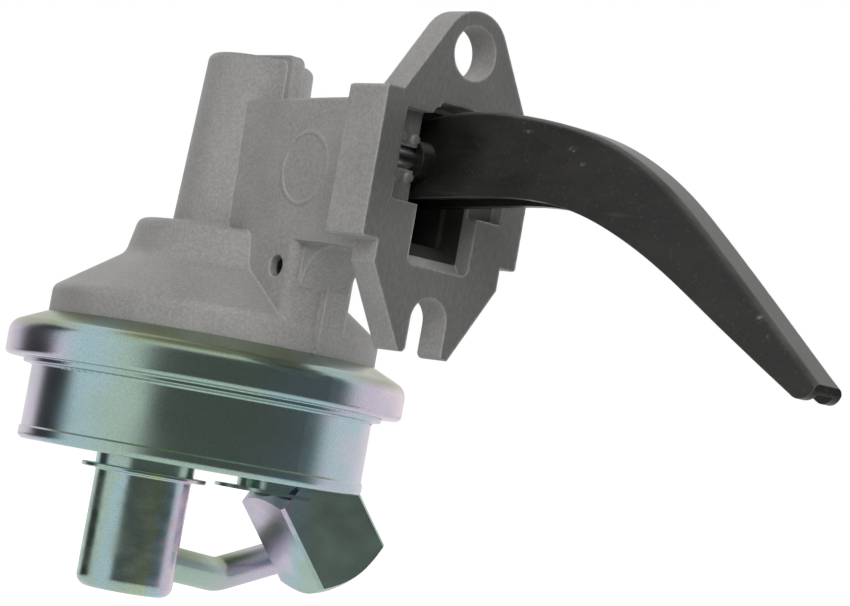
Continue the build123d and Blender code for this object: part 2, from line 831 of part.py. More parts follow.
def inlet_can():
    """Deep-drawn can whose collar is brazed to the cup's neck."""
    centre = on_port_line(can_offset).position
    outer = revolve(outline([
        (0, can_bottom, 0),
        (can_r, can_bottom, can_round),
        (can_r, collar_bottom, 0.5),
        (collar_r, collar_bottom, 0.3),
        (collar_r, neck_bottom, 0.3),
        (0, neck_bottom, 0),
    ]), Axis.Z)
    inner = revolve(outline([
        (0, can_bottom + can_t, 0),
        (can_r - can_t, can_bottom + can_t, can_round - can_t),
        (can_r - can_t, neck_bottom + 1, 0),
        (0, neck_bottom + 1, 0),
    ]), Axis.Z)
    can = Pos(centre.X, centre.Y, 0) * (outer - inner)
    start, along = tube_start()
    hole = Plane(origin=start, z_dir=along).location * Cylinder(tube_d / 2 + press_gap, 8)
    return can - hole


def tube_bend():
    """Corner point of the inlet tube's centre line."""
    return Vector(tube_bend_x, tube_bend_y, tube_bend_z)


def tube_start():
    """Where the tube's centre line enters the can's wall, and its direction there."""
    centre = on_port_line(can_offset).position + Vector(0, 0, tube_start_z)
    along = (tube_bend() - centre).normalized()
    return centre + along * (can_r - can_t), along


def tube_rise_direction():
    """Direction of the tube's second leg."""
    return Vector(0, cos(radians(tube_rise)), sin(radians(tube_rise)))


def inlet_tube():
    """Bent steel tube from the can to its plain end, which the hose is clamped on."""
    start, along = tube_start()
    end = tube_bend() + tube_rise_direction() * tube_leg
    path = FilletPolyline(start, tube_bend(), end, radius=tube_bend_r)
    face = Plane(origin=start, z_dir=along)
    tube = sweep(face * Circle(tube_d / 2), path)
    tube = chamfer(tube.edges().filter_by(GeomType.CIRCLE).sort_by(Axis.Y)[-1], tube_end_chamfer)
    return tube - sweep(face * Circle(tube_d / 2 - tube_wall), path)


def outlet_block():
    """Square-bar fitting with turned chamfers on both ends and a threaded port."""
    rise = block_end_rise()
    low = -rise
    high = block_corner_l + rise
    bar = Pos(0, 0, (low + high) / 2) * Box(block_size, block_size, high - low)
    bar = chamfer(bar.edges().filter_by(Axis.Z), block_bevel)
    reach = block_size
    slope = (reach - block_end_r) * tan(radians(block_chamfer))
    envelope = revolve(Plane.XZ * Polygon(
        (0, low), (block_end_r, low), (reach, low + slope), (reach, high - slope),
        (block_end_r, high), (0, high), align=None), Axis.Z)
    spigot = Pos(0, 0, low - spigot_l / 2) * Cylinder(spigot_r, spigot_l)
    port = Pos(0, 0, high - port_depth / 2) * Cylinder(port_r, port_depth)
    seat_z = high - port_depth - seat_well_depth
    well = Pos(0, 0, seat_z + seat_well_depth / 2) * Cylinder(seat_well_r, seat_well_depth)
    seat = Pos(0, 0, seat_z + flare_seat_h / 2) * Cone(flare_seat_r, flare_seat_tip_r, flare_seat_h)
    way = Pos(0, 0, (low - spigot_l + high) / 2) * Cylinder(outlet_way_r, high - low + spigot_l + 1)
    block = (bar & envelope) + spigot - (port + well - seat) - way
    return block_frame().location * block


def pieces():
    """Every piece of the pump under its own name."""
    named = {
        "housing_casting": housing_casting(),
        "pivot_pin": pivot_pin(),
        "rocker_arm": rocker_arm(),
        "pivot_bush": pivot_bush(),
        "spring_seat": spring_seat(),
        "return_spring": return_spring(),
        "pull_rod": pull_rod(),
        "rod_seal": rod_seal(),
        "seal_retainer": seal_retainer(),
        "diaphragm_spring": diaphragm_spring(),
        "upper_plate": pressed_plate(upper_plate_r, disc_top, True),
        "diaphragm": diaphragm(),
        "lower_plate": pressed_plate(lower_plate_r, lower_plate_bottom, False),
        "rivet_washer": rivet_washer(),
        "valve_body": valve_body(),
        "cup_gasket": cup_gasket(),
        "divider_seal": divider_seal(),
        "fuel_cup": fuel_cup(),
        "inlet_can": inlet_can(),
        "inlet_tube": inlet_tube(),
        "outlet_block": outlet_block(),
    }
    named.update(valve_pieces())
    return named


os.makedirs("parts", exist_ok=True)
for node, shape in pieces().items():
    export_step(shape, "parts/" + node + ".step")
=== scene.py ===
import bpy
from math import cos, pi, radians, sin
from mathutils import Matrix, Vector


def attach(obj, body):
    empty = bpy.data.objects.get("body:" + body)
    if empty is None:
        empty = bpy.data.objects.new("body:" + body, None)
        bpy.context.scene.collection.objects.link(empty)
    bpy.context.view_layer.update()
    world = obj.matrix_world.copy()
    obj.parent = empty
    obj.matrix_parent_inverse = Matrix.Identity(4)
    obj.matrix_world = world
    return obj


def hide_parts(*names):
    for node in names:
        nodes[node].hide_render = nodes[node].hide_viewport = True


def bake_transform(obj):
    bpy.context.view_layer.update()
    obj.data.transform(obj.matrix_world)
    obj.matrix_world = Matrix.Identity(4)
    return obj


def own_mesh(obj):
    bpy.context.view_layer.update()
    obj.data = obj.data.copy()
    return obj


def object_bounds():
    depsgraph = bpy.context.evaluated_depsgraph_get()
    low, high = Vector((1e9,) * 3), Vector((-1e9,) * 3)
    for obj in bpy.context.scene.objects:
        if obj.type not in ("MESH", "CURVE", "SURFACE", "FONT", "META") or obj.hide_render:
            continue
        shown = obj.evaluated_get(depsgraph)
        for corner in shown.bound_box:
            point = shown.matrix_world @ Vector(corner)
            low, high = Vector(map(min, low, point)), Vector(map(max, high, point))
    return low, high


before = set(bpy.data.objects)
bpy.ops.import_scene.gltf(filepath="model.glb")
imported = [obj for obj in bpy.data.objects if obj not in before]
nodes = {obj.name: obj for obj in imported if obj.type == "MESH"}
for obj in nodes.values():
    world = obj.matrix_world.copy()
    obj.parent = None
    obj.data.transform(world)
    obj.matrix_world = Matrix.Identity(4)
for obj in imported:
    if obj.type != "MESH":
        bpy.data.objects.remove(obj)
cad_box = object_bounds()

# Camera
# The pump is photographed from the side of its arm, a little from below, and the
# picture is rolled so that the arm hangs down to the right.
camera_place = Vector((0.4725, -0.4036, -0.09097))
camera_azimuth = radians(49.62)
camera_elevation = radians(-3.48)
camera_roll = radians(10.02)
picture_width = 850
focal_pixels = 2995.5
film_width = 36

look = Vector((-sin(camera_azimuth) * cos(camera_elevation),
               cos(camera_azimuth) * cos(camera_elevation),
               -sin(camera_elevation)))
level = Vector((cos(camera_azimuth), sin(camera_azimuth), 0))
above = level.cross(look)
picture_right = cos(camera_roll) * level + sin(camera_roll) * above
picture_up = cos(camera_roll) * above - sin(camera_roll) * level
camera_data = bpy.data.cameras.new("camera")
camera_data.sensor_width = film_width
camera_data.lens = focal_pixels / picture_width * film_width
camera_data.clip_start = 0.01
camera = bpy.data.objects.new("camera", camera_data)
turn = Matrix((picture_right, picture_up, -look)).transposed().to_4x4()
camera.matrix_world = Matrix.Translation(camera_place) @ turn
bpy.context.scene.collection.objects.link(camera)
bpy.context.scene.camera = camera
bpy.context.scene.view_settings.view_transform = "Standard"

# Room
# A white room with a dark curtain and a dark gap, set by angles from the photo's camera.
# Mirrored rays see both of them, on the floor too, past the paper near the pump. The
# camera sees only a white floor and backdrop.
floor_drop = 0.04
floor_size = 12.0
paper_white = 0.8
paper_roughness = 0.9
glow_near = 0.25
glow_far = 0.92
glow_near_r = 0.5
glow_far_r = 1.8
paper_front = 0.15
paper_front_far = 0.45
room_fill = 0.42
wall_white = 0.85
gap_tone = 0.045
curtain_share = 0.90
curtain_middle = 32
curtain_reach = 62
gap_middle = -111
gap_reach = 17
soft_edge = 7
wall_top = 0.60
lamp_top = 0.90
top_edge = 0.06
ceiling_share = 0.65
pump_x = -0.073


def add_node(tree, kind, inputs=None, **options):
    """Adds one shader node, sets its options, and links or fills in its inputs."""
    node = tree.nodes.new("ShaderNode" + kind)
    for option, choice in options.items():
        setattr(node, option, choice)
    for socket, value in (inputs or {}).items():
        if isinstance(value, bpy.types.NodeSocket):
            tree.links.new(value, node.inputs[socket])
        else:
            node.inputs[socket].default_value = value
    return node


def around(angle):
    """Level direction at an angle in degrees from the camera's side, to its right."""
    to_camera = Vector((-look.x, -look.y, 0)).normalized()
    return to_camera * cos(radians(angle)) + level * sin(radians(angle))


def smooth(tree, value, low, high, to_high=1.0):
    """0 below the low value and to_high above the high one, with a soft step between."""
    return add_node(tree, "MapRange", {"Value": value, "From Min": low, "From Max": high,
                                       "To Max": to_high},
                    interpolation_type="SMOOTHSTEP").outputs["Result"]


def arithmetic(tree, operation, first, second):
    """Result of one sum on two values."""
    return add_node(tree, "Math", {0: first, 1: second}, operation=operation).outputs[0]


def dark_side(tree, direction):
    """How dark the room is in a direction: the curtain and the gap, with soft edges."""
    flat = add_node(tree, "VectorMath", {0: direction, 1: (1, 1, 0)},
                    operation="MULTIPLY").outputs[0]
    flat = add_node(tree, "VectorMath", {0: flat}, operation="NORMALIZE").outputs[0]
    shares = []
    for middle, reach, share in ((curtain_middle, curtain_reach, curtain_share),
                                 (gap_middle, gap_reach, 1)):
        nearness = add_node(tree, "VectorMath", {0: flat, 1: around(middle)},
                            operation="DOT_PRODUCT")
        shares.append(smooth(tree, nearness.outputs["Value"], cos(radians(reach + soft_edge)),
                             cos(radians(reach - soft_edge)), share))
    return arithmetic(tree, "MAXIMUM", *shares)


def room_colour(tree, darkness):
    """White wall, or the black of curtain and gap, by how dark a direction is."""
    return add_node(tree, "Mix", {"Factor": darkness, "A": (wall_white,) * 3 + (1,),
                                  "B": (gap_tone,) * 3 + (1,)}, data_type="RGBA").outputs["Result"]


half = floor_size / 2
floor_z = cad_box[0].z - floor_drop
floor_mesh = bpy.data.meshes.new("floor")
floor_mesh.from_pydata([(-half, -half, floor_z), (half, -half, floor_z), (half, half, floor_z),
                        (-half, half, floor_z)], [], [(0, 1, 2, 3)])
floor = bpy.data.objects.new("floor", floor_mesh)
bpy.context.scene.collection.objects.link(floor)

paper = bpy.data.materials.new("floor_paper")
paper.use_nodes = True
sheet = paper.node_tree
sheet.nodes["Principled BSDF"].inputs["Base Color"].default_value = (paper_white,) * 3 + (1,)
sheet.nodes["Principled BSDF"].inputs["Roughness"].default_value = paper_roughness
sheet_place = add_node(sheet, "TexCoord").outputs["Object"]
from_pump = add_node(sheet, "VectorMath", {0: sheet_place, 1: (pump_x, 0, 0)},
                     operation="SUBTRACT").outputs[0]
away = add_node(sheet, "VectorMath", {0: from_pump}, operation="LENGTH").outputs["Value"]
rays = add_node(sheet, "LightPath").outputs
glow_here = add_node(sheet, "MapRange", {"Value": away, "From Min": glow_near_r,
                                         "From Max": glow_far_r, "To Min": glow_near,
                                         "To Max": glow_far}).outputs["Result"]
camera_glow = arithmetic(sheet, "MULTIPLY", glow_here, rays["Is Camera Ray"])
glow = add_node(sheet, "Emission", {"Strength": camera_glow})
plain_paper = add_node(sheet, "AddShader", {0: sheet.nodes["Principled BSDF"].outputs[0],
                                            1: glow.outputs[0]})
past_paper = smooth(sheet, away, paper_front, paper_front_far)
darkness = arithmetic(sheet, "MULTIPLY", dark_side(sheet, from_pump), past_paper)
mirrored_paper = add_node(sheet, "Emission", {"Color": room_colour(sheet, darkness),
                                              "Strength": 1.0})
mirrored = arithmetic(sheet, "MAXIMUM", rays["Is Glossy Ray"], rays["Is Transmission Ray"])
seen = add_node(sheet, "MixShader", {0: mirrored, 1: plain_paper.outputs[0],
                                     2: mirrored_paper.outputs[0]})
sheet.links.new(seen.outputs[0], sheet.nodes["Material Output"].inputs["Surface"])
floor_mesh.materials.append(paper)

world = bpy.data.worlds.new("studio")
bpy.context.scene.world = world
world.use_nodes = True
room = world.node_tree
direction = add_node(room, "TexCoord").outputs["Generated"]
height = add_node(room, "SeparateXYZ", {0: direction}).outputs["Z"]
under_top = smooth(room, height, wall_top - top_edge, wall_top + top_edge)
under_top = arithmetic(room, "SUBTRACT", 1.0, under_top)
walls = arithmetic(room, "MULTIPLY", dark_side(room, direction), under_top)
ceiling = smooth(room, height, lamp_top - top_edge, lamp_top + top_edge, ceiling_share)
wall_colour = room_colour(room, arithmetic(room, "MAXIMUM", walls, ceiling))
fill = room.nodes["Background"]
room.links.new(wall_colour, fill.inputs["Color"])
fill.inputs["Strength"].default_value = room_fill
mirrored_room = add_node(room, "Background", {"Color": wall_colour, "Strength": 1.0})
backdrop = add_node(room, "Background", {"Color": (1, 1, 1, 1), "Strength": 1.0})
rays = add_node(room, "LightPath").outputs
with_mirror = add_node(room, "MixShader", {0: rays["Is Glossy Ray"], 1: fill.outputs[0],
                                           2: mirrored_room.outputs[0]})
through = arithmetic(room, "MAXIMUM", rays["Is Camera Ray"], rays["Is Transmission Ray"])
with_backdrop = add_node(room, "MixShader", {0: through, 1: with_mirror.outputs[0],
                                             2: backdrop.outputs[0]})
room.links.new(with_backdrop.outputs[0], room.nodes["World Output"].inputs["Surface"])

# Lamps
# A large soft lamp stands over the camera, and a weaker one behind the pump on each side.
# They are hidden from mirrored rays: metal mirrors the room in their place.
pump_middle = (cad_box[0] + cad_box[1]) / 2
lamp_distance = 1.2


def soft_lamp(name, angle, rise, size, power):
    """Square lamp at an angle from the camera and a rise above the pump, which it faces."""
    towards = around(angle) * cos(radians(rise)) + Vector((0, 0, sin(radians(rise))))
    lamp_data = bpy.data.lights.new(name, "AREA")
    lamp_data.size = size
    lamp_data.energy = power
    lamp = bpy.data.objects.new(name, lamp_data)
    lamp.location = pump_middle + towards * lamp_distance
    lamp.rotation_euler = towards.to_track_quat("Z", "Y").to_euler()
    lamp.visible_glossy = False
    bpy.context.scene.collection.objects.link(lamp)


soft_lamp("lamp_front", 3, 30, 0.8, 9.0)
soft_lamp("lamp_left_back", -142, 25, 0.6, 7.0)
soft_lamp("lamp_right_back", 118, 12, 0.6, 6.0)

# Housing casting
# The housing, its flange and its spring tower are one aluminium die casting. Its skin is left matte
# with a fine grain, and its edges and the mounting face's rim carry a painted highlight. The mounting
# face is milled, the pin's stakes are peened, and the arm's chamber is darkened nearly black as
# painted shade.
casting_shade = (0.270, 0.266, 0.260, 1)
casting_grey = (0.325, 0.320, 0.312, 1)
casting_fleck_and_highlight = (0.58, 0.57, 0.555, 1)
milled_shade = (0.185, 0.185, 0.178, 1)
milled_grey = (0.235, 0.235, 0.228, 1)
peened_grey = (0.13, 0.13, 0.125, 1)
rim_highlight_colour = (0.74, 0.73, 0.71, 1)
chamber_painted_shade = (0.022, 0.022, 0.019, 1)
pocket_floor = -0.0033
level_edge = 0.0001
pivot_height = -0.0244
stake_offsets = (0.00935, 0.01255)
stake_z = 0.00395
stake_reach = 0.00105
casting_grain = 0.0006
casting_cloud = 0.012
cast_edge = 0.0009
face_depth = 0.0003
rim_depth = 0.0007
mill_line = 0.0006
arm_chamber = [(-0.0450, -0.0045), (-0.0090, 0.0090), (-0.0425, -0.0125)]
throat_end = [(-0.0074, -0.0045), (-0.0090, 0.0090), (-0.0465, -0.0125)]


def new_finish(name, even):
    """Material whose even values are set on the shader's own sockets."""
    finish = bpy.data.materials.new(name)
    finish.use_nodes = True
    shader = finish.node_tree.nodes["Principled BSDF"]
    for socket, value in even.items():
        shader.inputs[socket].default_value = value
    return finish, finish.node_tree, shader.inputs


def on_piece(tree, stretch=(1, 1, 1), origin=(0, 0, 0), turn=(0, 0, 0)):
    """Place on the piece in metres: moved to an origin, turned and squeezed."""
    place = add_node(tree, "TexCoord").outputs["Object"]
    moved = add_node(tree, "VectorMath", {0: place, 1: origin}, operation="SUBTRACT").outputs[0]
    return add_node(tree, "Mapping", {"Vector": moved, "Rotation": turn, "Scale": stretch}).outputs[0]


def mottle(tree, place, size, detail=3.0, roughness=0.55):
    """Uneven tone whose patches are about one size, in metres."""
    return add_node(tree, "TexNoise", {"Vector": place, "Scale": 1 / size, "Detail": detail,
                                       "Roughness": roughness}).outputs["Fac"]


def between(tree, value, low, high, to_low=0.0, to_high=1.0):
    """Value stretched so that low and high become two new limits, and held there."""
    return add_node(tree, "MapRange", {"Value": value, "From Min": low, "From Max": high,
                                       "To Min": to_low, "To Max": to_high}).outputs["Result"]


def blend_colours(tree, factor, first, second):
    """Colour that goes from the first to the second by a factor."""
    return add_node(tree, "Mix", {"Factor": factor, "A": first, "B": second},
                    data_type="RGBA").outputs["Result"]


def times(tree, first, second):
    """One value multiplied by another."""
    return arithmetic(tree, "MULTIPLY", first, second)


def more_of(tree, first, second):
    """The larger of two values."""
    return arithmetic(tree, "MAXIMUM", first, second)


def along_edges(tree, width, low=0.995, high=0.90):
    """1 where the surface turns sharply within a width, in metres."""
    rounded = add_node(tree, "Bevel", {"Radius": width}, samples=6).outputs[0]
    normal = add_node(tree, "NewGeometry").outputs["Normal"]
    turned = add_node(tree, "VectorMath", {0: rounded, 1: normal}, operation="DOT_PRODUCT")
    return between(tree, turned.outputs["Value"], low, high)


def raise_surface(tree, shader, heights, softened=None):
    """Chains bumps, each given as its height value, strength and depth in metres."""
    normal = softened and add_node(tree, "Bevel", {"Radius": softened}, samples=6).outputs[0]
    for value, strength, depth in heights:
        bump = add_node(tree, "Bump", {"Height": value, "Strength": strength, "Distance": depth})
        if normal:
            tree.links.new(normal, bump.inputs["Normal"])
        normal = bump.outputs[0]
    tree.links.new(normal, shader["Normal"])


def dress(name, finish):
    """Gives a CAD node's object one finish."""
    slots = nodes[name].data.materials
    slots.clear()
    slots.append(finish)


def cast_finish(name, shade, grey, edge):
    """Skin of a die casting: cloudy tone, fine grain, and a painted highlight along its edges."""
    finish, tree, shader = new_finish(name, {"Specular IOR Level": 0.45})
    cloud = mottle(tree, on_piece(tree), casting_cloud)
    grain = mottle(tree, on_piece(tree), casting_grain, 2.0)
    tone = between(tree, cloud, 0.3, 0.7)
    body = blend_colours(tree, tone, shade, grey)
    flecked = blend_colours(tree, between(tree, grain, 0.35, 0.75, 0.0, 0.35), body, edge)
    # Painted highlight: the edges are blended towards the pale colour, which also colours the grain's
    # flecks.
    pale_edges = times(tree, along_edges(tree, cast_edge, 0.99, 0.8),
                   between(tree, grain, 0.3, 0.6, 0.45, 1.0))
    colour = blend_colours(tree, pale_edges, flecked, edge)
    tree.links.new(colour, shader["Base Color"])
    tree.links.new(between(tree, grain, 0.3, 0.7, 0.46, 0.62), shader["Roughness"])
    raise_surface(tree, shader, [(cloud, 0.25, 0.0012), (grain, 0.28, 0.00012)],
                  softened=cast_edge)
    return finish, tree, shader


def near_level(tree, value, level_here, reach):
    """1 where a value lies within reach of a level."""
    off = arithmetic(tree, "ABSOLUTE", arithmetic(tree, "SUBTRACT", value, level_here), 0.0)
    return between(tree, off, reach, reach - level_edge)


def within(tree, place, spans):
    """1 inside a box given by its span along each axis."""
    share = None
    for axis, (low, high) in zip("XYZ", spans):
        side = near_level(tree, place[axis], (low + high) / 2, (high - low) / 2)
        share = side if share is None else times(tree, share, side)
    return share


casting, tree, shader = cast_finish("cast_skin", casting_shade, casting_grey, casting_fleck_and_highlight)
skin_colour = shader["Base Color"].links[0].from_socket
skin_gloss = shader["Roughness"].links[0].from_socket
place = add_node(tree, "SeparateXYZ", {0: on_piece(tree)}).outputs
true_normal = add_node(tree, "NewGeometry").outputs["True Normal"]
facing = add_node(tree, "SeparateXYZ", {0: true_normal}).outputs
cut_flat = more_of(tree, near_level(tree, place["X"], 0.0, face_depth),
                   near_level(tree, place["X"], pocket_floor, face_depth))
milled = times(tree, cut_flat, between(tree, facing["X"], 0.9, 0.95))
mill_lines = mottle(tree, on_piece(tree, (1, 1, 0.35), turn=(radians(20), 0, 0)), mill_line, 3.0)
milled_colour = blend_colours(tree, between(tree, mill_lines, 0.3, 0.7), milled_shade, milled_grey)
# Painted highlight along the milled face's edges.
edge_share = times(tree, along_edges(tree, cast_edge, 0.99, 0.8),
                   between(tree, mill_lines, 0.35, 0.6, 0.3, 0.8))
milled_colour = blend_colours(tree, edge_share, milled_colour, casting_fleck_and_highlight)
mirrored_place = add_node(tree, "VectorMath", {0: on_piece(tree, origin=(0, 0, pivot_height))},
                          operation="ABSOLUTE").outputs[0]
mirrored_place = add_node(tree, "VectorMath", {0: mirrored_place, 1: (0, 1, 1)},
                          operation="MULTIPLY").outputs[0]
peened = None
for stake_y in stake_offsets:
    off = add_node(tree, "VectorMath", {0: mirrored_place, 1: (0, stake_y, stake_z)},
                   operation="DISTANCE")
    spot = between(tree, off.outputs["Value"], stake_reach, stake_reach * 0.8)
    peened = spot if peened is None else more_of(tree, peened, spot)
peened = times(tree, peened, between(tree, place["X"], -0.0045, -0.0038))
inside = more_of(tree, within(tree, place, arm_chamber), within(tree, place, throat_end))
# Painted highlight on the rounded rim round the mounting face, broken up by the mill lines.
rim_highlight_mask = times(tree, near_level(tree, place["X"], 0.0, rim_depth),
                   between(tree, facing["X"], 0.12, 0.3))
rim_highlight_mask = times(tree, rim_highlight_mask, arithmetic(tree, "SUBTRACT", 1.0, milled))
rim_highlight_mask = times(tree, rim_highlight_mask, between(tree, mill_lines, 0.3, 0.6, 0.45, 1.0))
colour = blend_colours(tree, milled, skin_colour, milled_colour)
colour = blend_colours(tree, rim_highlight_mask, colour, rim_highlight_colour)
# Painted shade: the arm's chamber and the throat's end are darkened nearly black.
colour = blend_colours(tree, times(tree, inside, 0.93), colour, chamber_painted_shade)
tree.links.new(blend_colours(tree, peened, colour, peened_grey), shader["Base Color"])
tree.links.new(times(tree, milled, 0.5), shader["Metallic"])
smoother = more_of(tree, times(tree, milled, 0.5), peened)
gloss = add_node(tree, "Mix", {0: smoother, 2: skin_gloss, 3: 0.3}, data_type="FLOAT")
tree.links.new(gloss.outputs[0], shader["Roughness"])
dress("housing_casting", casting)

# Pivot pin
# A plain ground steel pin, laid in the flange's pocket and held by four stakes.
ground_steel = (0.30, 0.295, 0.29, 1)
ground_steel_pale = (0.46, 0.455, 0.45, 1)


def steel_finish(name, dark, pale, stretch, roughness, line=0.0004):
    """Bare steel with fine tool lines: even across the stretched axis."""
    finish, tree, shader = new_finish(name, {"Metallic": 1.0})
    lines = mottle(tree, on_piece(tree, stretch), line, 4.0)
    stain = mottle(tree, on_piece(tree), 0.006)
    colour = blend_colours(tree, between(tree, lines, 0.3, 0.7), dark, pale)
    colour = blend_colours(tree, between(tree, stain, 0.5, 0.75, 0.0, 0.5), colour, dark)
    colour = blend_colours(tree, times(tree, along_edges(tree, 0.0003), stain), colour, pale)
    tree.links.new(colour, shader["Base Color"])
    tree.links.new(between(tree, stain, 0.3, 0.7, roughness - 0.08, roughness + 0.1),
                   shader["Roughness"])
    raise_surface(tree, shader, [(lines, 0.3, 0.00005)])
    return finish


dress("pivot_pin", steel_finish("ground_pin", ground_steel, ground_steel_pale, (1, 0.05, 1), 0.34))

# Rocker arm and its bush
# The arm is bent from sheet steel and phosphated nearly black. Oil leaves it satin, and handling has
# scuffed the web and rubbed the lower edges. Its upward faces are painted a lighter grey, as painted
# light from above. The bush is riveted into it.
phosphate = (0.008, 0.008, 0.0075, 1)
phosphate_worn = (0.020, 0.019, 0.017, 1)
web_painted_light = (0.085, 0.084, 0.080, 1)
arm_bare = (0.30, 0.29, 0.26, 1)
arm_scuffs = [
    ((0.0962, -0.0037, -0.0500), (0.0010, 0.0030, 0.0011)),
    ((0.0992, -0.0037, -0.0532), (0.0007, 0.0030, 0.0008)),
    ((0.0392, -0.0037, -0.0201), (0.0016, 0.0020, 0.0007)),
    ((0.0428, -0.0037, -0.0230), (0.0012, 0.0020, 0.0006)),
    ((0.0252, -0.0037, -0.0168), (0.0020, 0.0020, 0.0005)),
    ((0.0048, -0.0037, -0.0280), (0.0005, 0.0020, 0.0013)),
]

arm_finish, tree, shader = new_finish("arm_phosphate", {"Specular IOR Level": 0.5})
arm_grain = mottle(tree, on_piece(tree), 0.0007, 3.0)
arm_cloud = mottle(tree, on_piece(tree, (0.4, 1, 1)), 0.007, 4.0)
arm_colour = blend_colours(tree, between(tree, arm_cloud, 0.35, 0.7), phosphate, phosphate_worn)
draw_lines = mottle(tree, on_piece(tree, (0.03, 1, 1), turn=(0, radians(28), 0)), 0.0011, 2.0)
faint_scratches = between(tree, draw_lines, 0.68, 0.78, 0.0, 0.06)
arm_colour = blend_colours(tree, faint_scratches, arm_colour, arm_bare)
oily_flecks = between(tree, arm_grain, 0.60, 0.72, 0.0, 0.10)
arm_colour = blend_colours(tree, oily_flecks, arm_colour, arm_bare)
arm_normal = add_node(tree, "NewGeometry").outputs["Normal"]
up_facing = add_node(tree, "SeparateXYZ", {0: arm_normal}).outputs["Z"]
# Painted light: faces that turn upwards are lightened towards a grey, as if lit from above.
lit_from_above = times(tree, between(tree, up_facing, 0.35, 0.65),
                between(tree, arm_cloud, 0.3, 0.7, 0.4, 1.0))
arm_colour = blend_colours(tree, lit_from_above, arm_colour, web_painted_light)
scuffed = None
for middle, reach in arm_scuffs:
    spot = add_node(tree, "VectorMath", {
        0: on_piece(tree, tuple(1 / length for length in reach), middle)}, operation="LENGTH")
    spot = between(tree, spot.outputs["Value"], 1.0, 0.2)
    scuffed = spot if scuffed is None else more_of(tree, scuffed, spot)
scuffed = times(tree, scuffed, between(tree, arm_grain, 0.44, 0.62, 0.0, 0.7))
pale_edges = times(tree, along_edges(tree, 0.0004, 0.99, 0.85),
               between(tree, arm_cloud, 0.46, 0.62, 0.05, 0.5))
bare = more_of(tree, scuffed, pale_edges)
tree.links.new(blend_colours(tree, bare, arm_colour, arm_bare), shader["Base Color"])
tree.links.new(between(tree, bare, 0.2, 0.8), shader["Metallic"])
tree.links.new(between(tree, arm_cloud, 0.3, 0.7, 0.28, 0.40), shader["Roughness"])
raise_surface(tree, shader, [(arm_cloud, 0.12, 0.0008), (arm_grain, 0.25, 0.00008),
                             (draw_lines, 0.12, 0.00008)])
dress("rocker_arm", arm_finish)
dress("pivot_bush", arm_finish)

# Return spring and its seat
# The spring is wound from oiled wire and pushes the arm against its cam. The seat is a pressed steel
# cup that centres it on the arm's inner end.
wire_dark = (0.075, 0.078, 0.085, 1)
wire_pale = (0.30, 0.31, 0.33, 1)
sheet_dark = (0.34, 0.34, 0.345, 1)
sheet_pale = (0.56, 0.56, 0.565, 1)

oiled_wire = steel_finish("oiled_wire", wire_dark, wire_pale, (1, 1, 1), 0.36, 0.0009)
pressed_steel = steel_finish("pressed_steel", sheet_dark, sheet_pale, (1, 1, 0.1), 0.32)
pump_axis = Vector((pump_x, 0, 0))
return_low, return_high = -0.03375, -0.00485
ring_corners = 12
steps_a_turn = 40
closed_turns = 0.75
ground_share = 0.35


def new_piece(name, corners, faces, finish):
    """Mesh piece of its own, with smooth sides and one finish."""
    mesh = bpy.data.meshes.new(name)
    mesh.from_pydata(corners, [], faces)
    mesh.shade_smooth()
    mesh.materials.append(finish)
    piece = bpy.data.objects.new(name, mesh)
    bpy.context.scene.collection.objects.link(piece)
    return piece


def tube_faces(rings, count):
    """Faces of a closed tube through rings of count corners, with flat ends."""
    faces = [tuple(reversed(range(count)))]
    for ring in range(rings - 1):
        for side in range(count):
            low, following = ring * count + side, ring * count + (side + 1) % count
            faces.append((low, following, following + count, low + count))
    return faces + [tuple(range((rings - 1) * count, rings * count))]


def wound_spring(node, middle, mean_r, wire_r, low, high, turns):
    """Coil spring with closed ends that are ground flat, in place of a CAD spring."""
    steps = round(turns * steps_a_turn)
    grind = wire_r * ground_share
    closed_rise = 2 * wire_r * closed_turns
    open_rise = high - low - 2 * (wire_r - grind) - 2 * closed_rise
    corners = []
    for step in range(steps + 1):
        wound = step / steps_a_turn
        opened = min(max((wound - closed_turns) / (turns - 2 * closed_turns), 0), 1)
        closed = min(wound, closed_turns) + max(wound - turns + closed_turns, 0)
        centre_z = low + wire_r - grind + 2 * wire_r * closed + open_rise * opened
        outward = Vector((cos(2 * pi * wound), sin(2 * pi * wound), 0))
        for corner in range(ring_corners):
            angle = 2 * pi * corner / ring_corners
            place = middle + outward * (mean_r + wire_r * cos(angle))
            place.z = min(max(centre_z + wire_r * sin(angle), low), high)
            corners.append(place)
    piece = new_piece(node + "_coil", corners, tube_faces(steps + 1, ring_corners), oiled_wire)
    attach(piece, "housing")
    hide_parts(node)
    return piece


def squeeze_spring(piece):
    """Gives a spring a mesh of its own."""
    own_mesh(piece)


spring = wound_spring("return_spring", pump_axis, 0.0080, 0.0009, return_low, return_high, 6.5)
squeeze_spring(spring)
dress("spring_seat", pressed_steel)

# Rod seal and its retainer
# A moulded rubber lip seal keeps the engine's oil above the diaphragm, and a pressed
# steel ring holds it up in the casting.
rubber_black = (0.012, 0.012, 0.013, 1)
rubber_bloom = (0.050, 0.050, 0.048, 1)

moulded_rubber, tree, shader = new_finish("moulded_rubber", {"Specular IOR Level": 0.35})
rubber_grain = mottle(tree, on_piece(tree), 0.0004, 2.0)
rubber_dust = mottle(tree, on_piece(tree), 0.005, 4.0)
rubber_colour = blend_colours(tree, between(tree, rubber_dust, 0.45, 0.75), rubber_black,
                              rubber_bloom)
tree.links.new(rubber_colour, shader["Base Color"])
tree.links.new(between(tree, rubber_dust, 0.3, 0.7, 0.5, 0.75), shader["Roughness"])
raise_surface(tree, shader, [(rubber_grain, 0.3, 0.00006)])
dress("rod_seal", moulded_rubber)
dress("seal_retainer", pressed_steel)

# Pull rod, diaphragm and its plates
# The rod is turned and headed. Its end is peened over a washer, which clamps one disc of rubberised
# cloth between two pressed plates. Here the disc is laid in gores round the axis, between the clamped
# rim and the plates.
cloth_black = (0.014, 0.014, 0.015, 1)
cloth_thread = (0.060, 0.057, 0.050, 1)
thread_pitch = 0.0007
pressure_low, pressure_high = -0.07375, -0.05405

